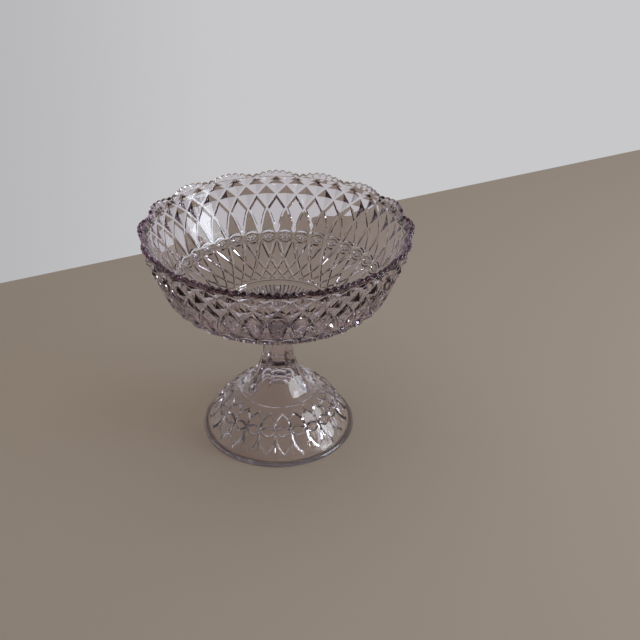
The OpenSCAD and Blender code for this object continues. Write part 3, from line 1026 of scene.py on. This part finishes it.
@dataclass
class Pedestal:
    """Stem and foot in one pressing: flat panels above, a domed foot with ovals below."""

    stem_top_z: float = 98.5
    ring_z: float = 38.2
    ring_r: float = 32.3
    neck_r: float = 12.8
    stem_top_r: float = 15.5
    panels: int = 8
    foot_r: float = 66.2
    edge_h: float = 4.0
    tread_w: float = 6.0
    foot_wall_t: float = 5.5
    hollow: tuple[Pair, ...] = (
        (24.5, 31.5), (18.6, 36.5), (15.6, 41.0), (13.6, 45.0), (11.4, 49.0), (8.0, 52.6), (4.0, 54.1))
    hollow_h: float = 54.5
    top_row: float = 0.15
    bottom_row: float = 0.97
    dome_bend: Pair = (0.46, 0.79)
    # The rolled edge, in shares of its height, inwards and up
    edge_side: tuple[Pair, ...] = (
        (0.93, 0.86), (0.86, 0.8), (0.78, 0.84), (0.66, 0.88), (0.52, 0.86), (0.36, 0.78), (0.2, 0.65),
        (0.08, 0.5), (0.01, 0.36), (0, 0.24), (0.03, 0.12), (0.1, 0.04), (0.22, 0))
    # Rows of plain dome above and below the fields, and of the wall inside them
    above_rows: tuple[float, ...] = (0.04, 0.08, 0.115)
    below_rows: tuple[float, ...] = (0.985, 1.0)
    inner_rows: tuple[float, ...] = (0.95, 0.9, 0.84, 0.78, 0.73, 0.67, 0.62, 0.56, 0.5)
    stem_steps: int = 48
    step_power: float = 1.5
    step_share: float = 0.7
    ring_bead_r: float = 1.4
    columns: int = 24
    turn_deg: float = 4.5
    ring_parts: int = 4
    flare_power: float = 3.3
    top_power: float = 9.0
    panel_share: float = 0.93
    fade_share: float = 0.07
    fade_power: float = 14.0
    flute_share: float = 0.02
    flute_power: float = 8.0
    pattern: Pattern = field(init=False)

    def __post_init__(self) -> None:
        """Lays the pattern round the dome of the foot."""
        start, end = (self.ring_r, self.ring_z), (self.foot_r - self.edge_h, self.edge_h)
        bend = (mix(start[0], end[0], self.dome_bend[0]), mix(end[1], start[1], self.dome_bend[1]))
        rows = shares(64)
        section = Section([bent(start, bend, end, row) for row in rows])
        turn = math.radians(self.turn_deg)
        self.pattern = Pattern(section, self.columns, rows, section.lengths, turn)

    def facets(self) -> list[Facet]:
        """The fields of one column of the foot, from the ring down."""
        node, apex, shoulder, heel, tail = 0.57, 0.21, 0.38, 0.62, 0.93
        lens_top = oval_side(-0.07, node)
        lens_bottom = oval_side(0.085, node)[::-1]
        lower = [(0.5, heel), (0.48, 0.71), (0.38, 0.8), (0.22, 0.87)]
        between = [(0.5 - x, row) for x, row in lower]
        arc = [0.5] * OVAL_PARTS
        return [
            Facet(0.5, (*level_side(self.top_row), (0.5, apex), (0, shoulder), (-0.5, apex)),
                  Cut.TABLE, (0.0, 1.4), (0.3,)),
            Facet(0, ((0, apex), (0.5, shoulder), (0.5, node), *reversed(lens_top), (-0.5, node),
                      (-0.5, shoulder)), Cut.TABLE, (1.7, 1.8), (0.65, 0.6, *arc, 0.6, 0.65)),
            Facet(0, ((-0.5, node), *lens_top, (0.5, node), *lens_bottom), Cut.HATCHED,
                  (1.2, 1.2), (0.5,)),
            Facet(0, ((-0.5, node), *reversed(lens_bottom), (0.5, node), *lower, (0, tail),
                      *flipped(lower)), Cut.TABLE, (1.8, 1.8), (*arc, *[0.65] * 10)),
            Facet(0.5, (*between, (0.5, tail), *level_side(self.bottom_row)[::-1], (-0.5, tail),
                        *flipped(between[1:])), Cut.TABLE, (1.4, 0.0), (0.55,)),
        ]

    def foot_column(self) -> Object:
        """Builds one column of the foot, with its share of the edge and of the hollow."""
        shell = Shell()
        cutter = Cutter(self.pattern, shell, groove_share=0.07, long_rows={}, hatch_pitch=1.3,
                        hatch_rise=0.45, cushion_rise=0.9, groove_depth=1.3,
                        level_rows=(self.top_row, self.bottom_row))
        for facet in self.facets():
            cutter.cut(facet)
        turn, span, parts = self.pattern.turn, FULL_TURN / self.columns, self.ring_parts

        def lines(side: Iterable[Pair]) -> list[list[Place]]:
            """A line across the column at each point of a side."""
            return [ring(r, z, span, parts, turn) for r, z in side]

        section, length_of = self.pattern.section, self.pattern.length_of
        above, below = ([section.at(length_of(row)) for row in rows]
                        for rows in (self.above_rows, self.below_rows))
        shell.strips([*lines([*self.crest(), *above]), self.pattern.line(self.top_row, parts)])
        edge = [(self.foot_r - self.edge_h * a, self.edge_h * b) for a, b in self.edge_side]
        hollow_r = self.foot_r - 0.25 * self.edge_h - self.tread_w
        *inner, neck = [section.raised(length_of(row), -self.foot_wall_t) for row in self.inner_rows]
        cap = smooth_curve((neck, *self.hollow, (0.0, self.hollow_h)), 4)[:-1]
        tread = [(hollow_r + 0.5, 0.0), (hollow_r, 0.4)]
        hem = lines([*below, *edge, *tread, *inner, *cap])
        shell.capped([self.pattern.line(self.bottom_row, parts), *hem], self.hollow_h)
        return shell.object("foot_column")

    def crest(self) -> list[Pair]:
        """The bead between stem and foot, from the stem's side."""
        turns = [math.radians(115 - 25 * i) for i in range(6)]
        return [(self.ring_r + self.ring_bead_r * math.cos(a),
                 self.ring_z + self.ring_bead_r * math.sin(a)) for a in turns]

    def stem_ring_r(self, share: float, turn: float) -> float:
        """Radius of the panelled stem at a share of its height and a turn from a panel's middle."""
        round_r = (self.neck_r + (self.ring_r - self.neck_r) * (1 - share) ** self.flare_power
                   + (self.stem_top_r - self.neck_r) * share**self.top_power)
        flat_r = round_r * (self.panel_share + self.fade_share * (1 - share) ** self.fade_power)
        across = turn * self.panels / math.pi
        flute = self.flute_share * (1 - across * across) * (1 - (1 - share) ** self.flute_power)
        return min(round_r, flat_r / math.cos(turn)) * (1 - flute)

    def stem_panel(self) -> Object:
        """Builds one panel of the stem."""
        shell = Shell()
        span = FULL_TURN / self.panels
        parts = self.columns * self.ring_parts // self.panels
        turns = [self.pattern.turn + span * i / parts for i in range(parts + 1)]
        stem_h = self.stem_top_z - self.ring_z
        first = self.crest()[0]
        lines = [[around(t, *first) for t in turns]]
        for even in shares(self.stem_steps)[1:]:
            # The steps lie closer together in the flare
            share = mix(even, even**self.step_power, self.step_share)
            z = self.ring_z + stem_h * share
            if z > first[1] + 0.2:
                lines.append([around(t, self.stem_ring_r(share, t - span * round(t / span)), z)
                              for t in turns])
        shell.capped(lines, self.stem_top_z)
        return shell.object("stem_panel")

    def build(self, tree: NodeTree, finish: Material) -> Object:
        """Builds the pedestal's solid."""
        parts = [turned(self.foot_column(), self.columns, tree, finish),
                 turned(self.stem_panel(), self.panels, tree, finish)]
        return closed_piece("pressed_pedestal", parts, finish, crease_deg=14)


# ---------------------------------------------------------------- stage, light and camera


def way_to(azimuth: float, rise: float) -> Vector:
    """The way to a point of the room, by its azimuth from +Y and its rise, in radians."""
    level = math.cos(rise)
    return Vector((math.sin(azimuth) * level, math.cos(azimuth) * level, math.sin(rise)))


@dataclass
class Studio:
    """Table, backdrop, window light and camera. Lengths are in metres here."""

    table_hex: str = "#A49688"
    table_edge_y: float = 0.3875
    table_edge_slope: float = 0.452
    table_reach: float = 3.2
    wall_hex: str = "#C8C8CA"
    room_hex: str = "#5E5957"
    wall_from_y: Pair = (-0.45, 0.25)
    ceiling_from_z: Pair = (0.2, 0.7)
    ceiling_share: float = 0.25
    left_from_x: Pair = (-0.3, 0.0)
    left_share: float = 0.82
    window_colour: tuple[float, float, float] = (0.84, 0.92, 1.0)
    window_radiance: float = 5.8
    window_size: Pair = (0.78, 0.95)
    window_way_deg: Pair = (100.0, 22.0)
    window_far: float = 1.5
    aim_h: float = 0.1
    fill_radiance: float = 1.18
    fill_size: float = 3.0
    fill_h: float = 2.2
    # The photograph's camera, fitted to the foot, the ring and the scallops
    camera_place: Place = (0.0, -0.7238, 0.552)
    camera_pitch_deg: float = 31.73
    camera_azimuth_rad: float = 0.0490
    camera_roll_rad: float = 0.0153
    focal_px: float = 1014.73
    picture_px: int = 640
    bounces: int = 24

    def table(self) -> None:
        """Lays the table top, which ends behind the compote as in the photograph's framing."""
        reach, far_y = self.table_reach, self.table_edge_y
        rise = reach * self.table_edge_slope
        under_foot = -0.15 * MM
        corners = [(x, y, under_foot) for x, y in (
            (-reach, far_y - rise), (reach, far_y + rise), (reach, -reach), (-reach, -reach))]
        mesh = bpy.data.meshes.new("table_top")
        mesh.from_pydata(corners, [], [(3, 2, 1, 0)])
        made = bpy.data.materials.new("matt table cover")
        made.use_nodes = True
        plain = made.node_tree.nodes["Principled BSDF"].inputs
        looks = {"Base Color": linear(self.table_hex), "Roughness": 0.9, "Specular IOR Level": 0.1}
        for name, value in looks.items():
            plain[name].default_value = value
        mesh.materials.append(made)
        top = placed("table_top", mesh)

    def room(self) -> None:
        """Sets the pale wall behind and the dimmer room in front as the world's light."""
        bpy.context.scene.world = bpy.data.worlds.new("room")
        tree = bare_tree(bpy.context.scene.world)
        way = add_node(tree, "ShaderNodeTexCoord").outputs["Generated"]
        axes = add_node(tree, "ShaderNodeSeparateXYZ", {0: way}).outputs
        # The wall is behind, the ceiling is dim, and the wall falls off to the left
        behind, high, left = (
            add_node(tree, "ShaderNodeMapRange", {
                "Value": axes[axis], "From Min": start, "From Max": end, "To Min": low, "To Max": top},
                interpolation_type="SMOOTHSTEP")
            for axis, (start, end), low, top in (
                ("Y", self.wall_from_y, 0.0, 1.0), ("Z", self.ceiling_from_z, 1.0, self.ceiling_share),
                ("X", self.left_from_x, self.left_share, 1.0)))
        colour = add_node(tree, "ShaderNodeMix", {
            0: behind, 6: linear(self.room_hex), 7: linear(self.wall_hex)}, data_type="RGBA").outputs[2]
        level = add_node(tree, "ShaderNodeMath", {0: high, 1: left}, operation="MULTIPLY")
        light = add_node(tree, "ShaderNodeBackground", {"Color": colour, "Strength": level})
        add_node(tree, "ShaderNodeOutputWorld", {"Surface": light})

    def lamp(self, name: str, way: Vector, far: float, size: Pair, radiance: float) -> Object:
        """Hangs a soft, rectangular light that faces the compote."""
        light = bpy.data.lights.new(name, "AREA")
        light.shape = "RECTANGLE"
        light.size, light.size_y = size
        light.energy = radiance * math.pi * size[0] * size[1]
        made = placed(name, light)
        made.location = way * far + Vector((0, 0, self.aim_h))
        made.rotation_euler = (-way).to_track_quat("-Z", "Y").to_euler()
        return made

    def lamps(self) -> None:
        """Hangs the window's light at the right, where the glass mirrors it, and a soft one above."""
        way = way_to(*(math.radians(d) for d in self.window_way_deg))
        window = self.lamp("window", way, self.window_far, self.window_size, self.window_radiance)
        window.data.color = self.window_colour
        size = (self.fill_size, self.fill_size)
        fill = self.lamp("fill", Vector((0, 0, 1)), self.fill_h, size, self.fill_radiance)
        fill.visible_glossy = fill.visible_transmission = False

    def camera(self) -> None:
        """Sets the camera where the photograph's was."""
        lens = bpy.data.cameras.new("camera")
        lens.sensor_width = 36.0
        lens.lens = self.focal_px / self.picture_px * lens.sensor_width
        made = placed("camera", lens)
        roll = self.camera_roll_rad
        ahead = way_to(self.camera_azimuth_rad, -math.radians(self.camera_pitch_deg))
        right = ahead.cross(Vector((0, 0, 1))).normalized()
        up = right.cross(ahead)
        level = right * math.cos(roll) + up * math.sin(roll)
        tall = up * math.cos(roll) - right * math.sin(roll)
        turn = Matrix((level, tall, -ahead)).transposed()
        made.matrix_world = Matrix.Translation(self.camera_place) @ turn.to_4x4()
        bpy.context.scene.camera = made

    def build(self) -> None:
        """Sets up everything that isn't the compote."""
        self.table()
        self.room()
        self.lamps()
        self.camera()
        bpy.context.scene.view_settings.view_transform = "Standard"
        # Light passes many walls of glass before it leaves the compote
        cycles = bpy.context.scene.cycles
        cycles.max_bounces = cycles.transmission_bounces = self.bounces


# ---------------------------------------------------------------- the whole


def main() -> None:
    """Builds the compote round the frame, and the studio round the compote."""
    logging.basicConfig(level=logging.INFO, format="%(name)s: %(message)s")
    Studio().build()
    tree = turned_array_tree()
    body = next(iter(frame["bodies"]))
    jobs: list[tuple[Callable[..., Object], PressedGlass, str, str]] = [
        (Bowl().build, PressedGlass("pale amethyst pressed glass, bowl", rim_shade_above_mm=187.0),
         "bowl", "bowl_glass"),
        (JoiningWafer().build, PressedGlass("pale amethyst glass, wafer", ripple_depth_mm=0.05),
         "joining_wafer", "wafer_glass"),
        (Pedestal().build, PressedGlass("pale amethyst pressed glass, pedestal", body_hex="#CBA9BB",
                                        body_density=9.0, roughness=(0.03, 0.08), worn_and_shaded_below_mm=1.2,
                                        shadow_hex="#F0EDE9"),
         "pedestal", "pedestal_glass"),
    ]
    for build, glass, node, slot in jobs:
        piece = build(tree, glass.material())
        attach(piece, body)
        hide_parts(node)
        log.info("%s stands for %s", piece.name, node)


if __name__ == "__main__":
    main()
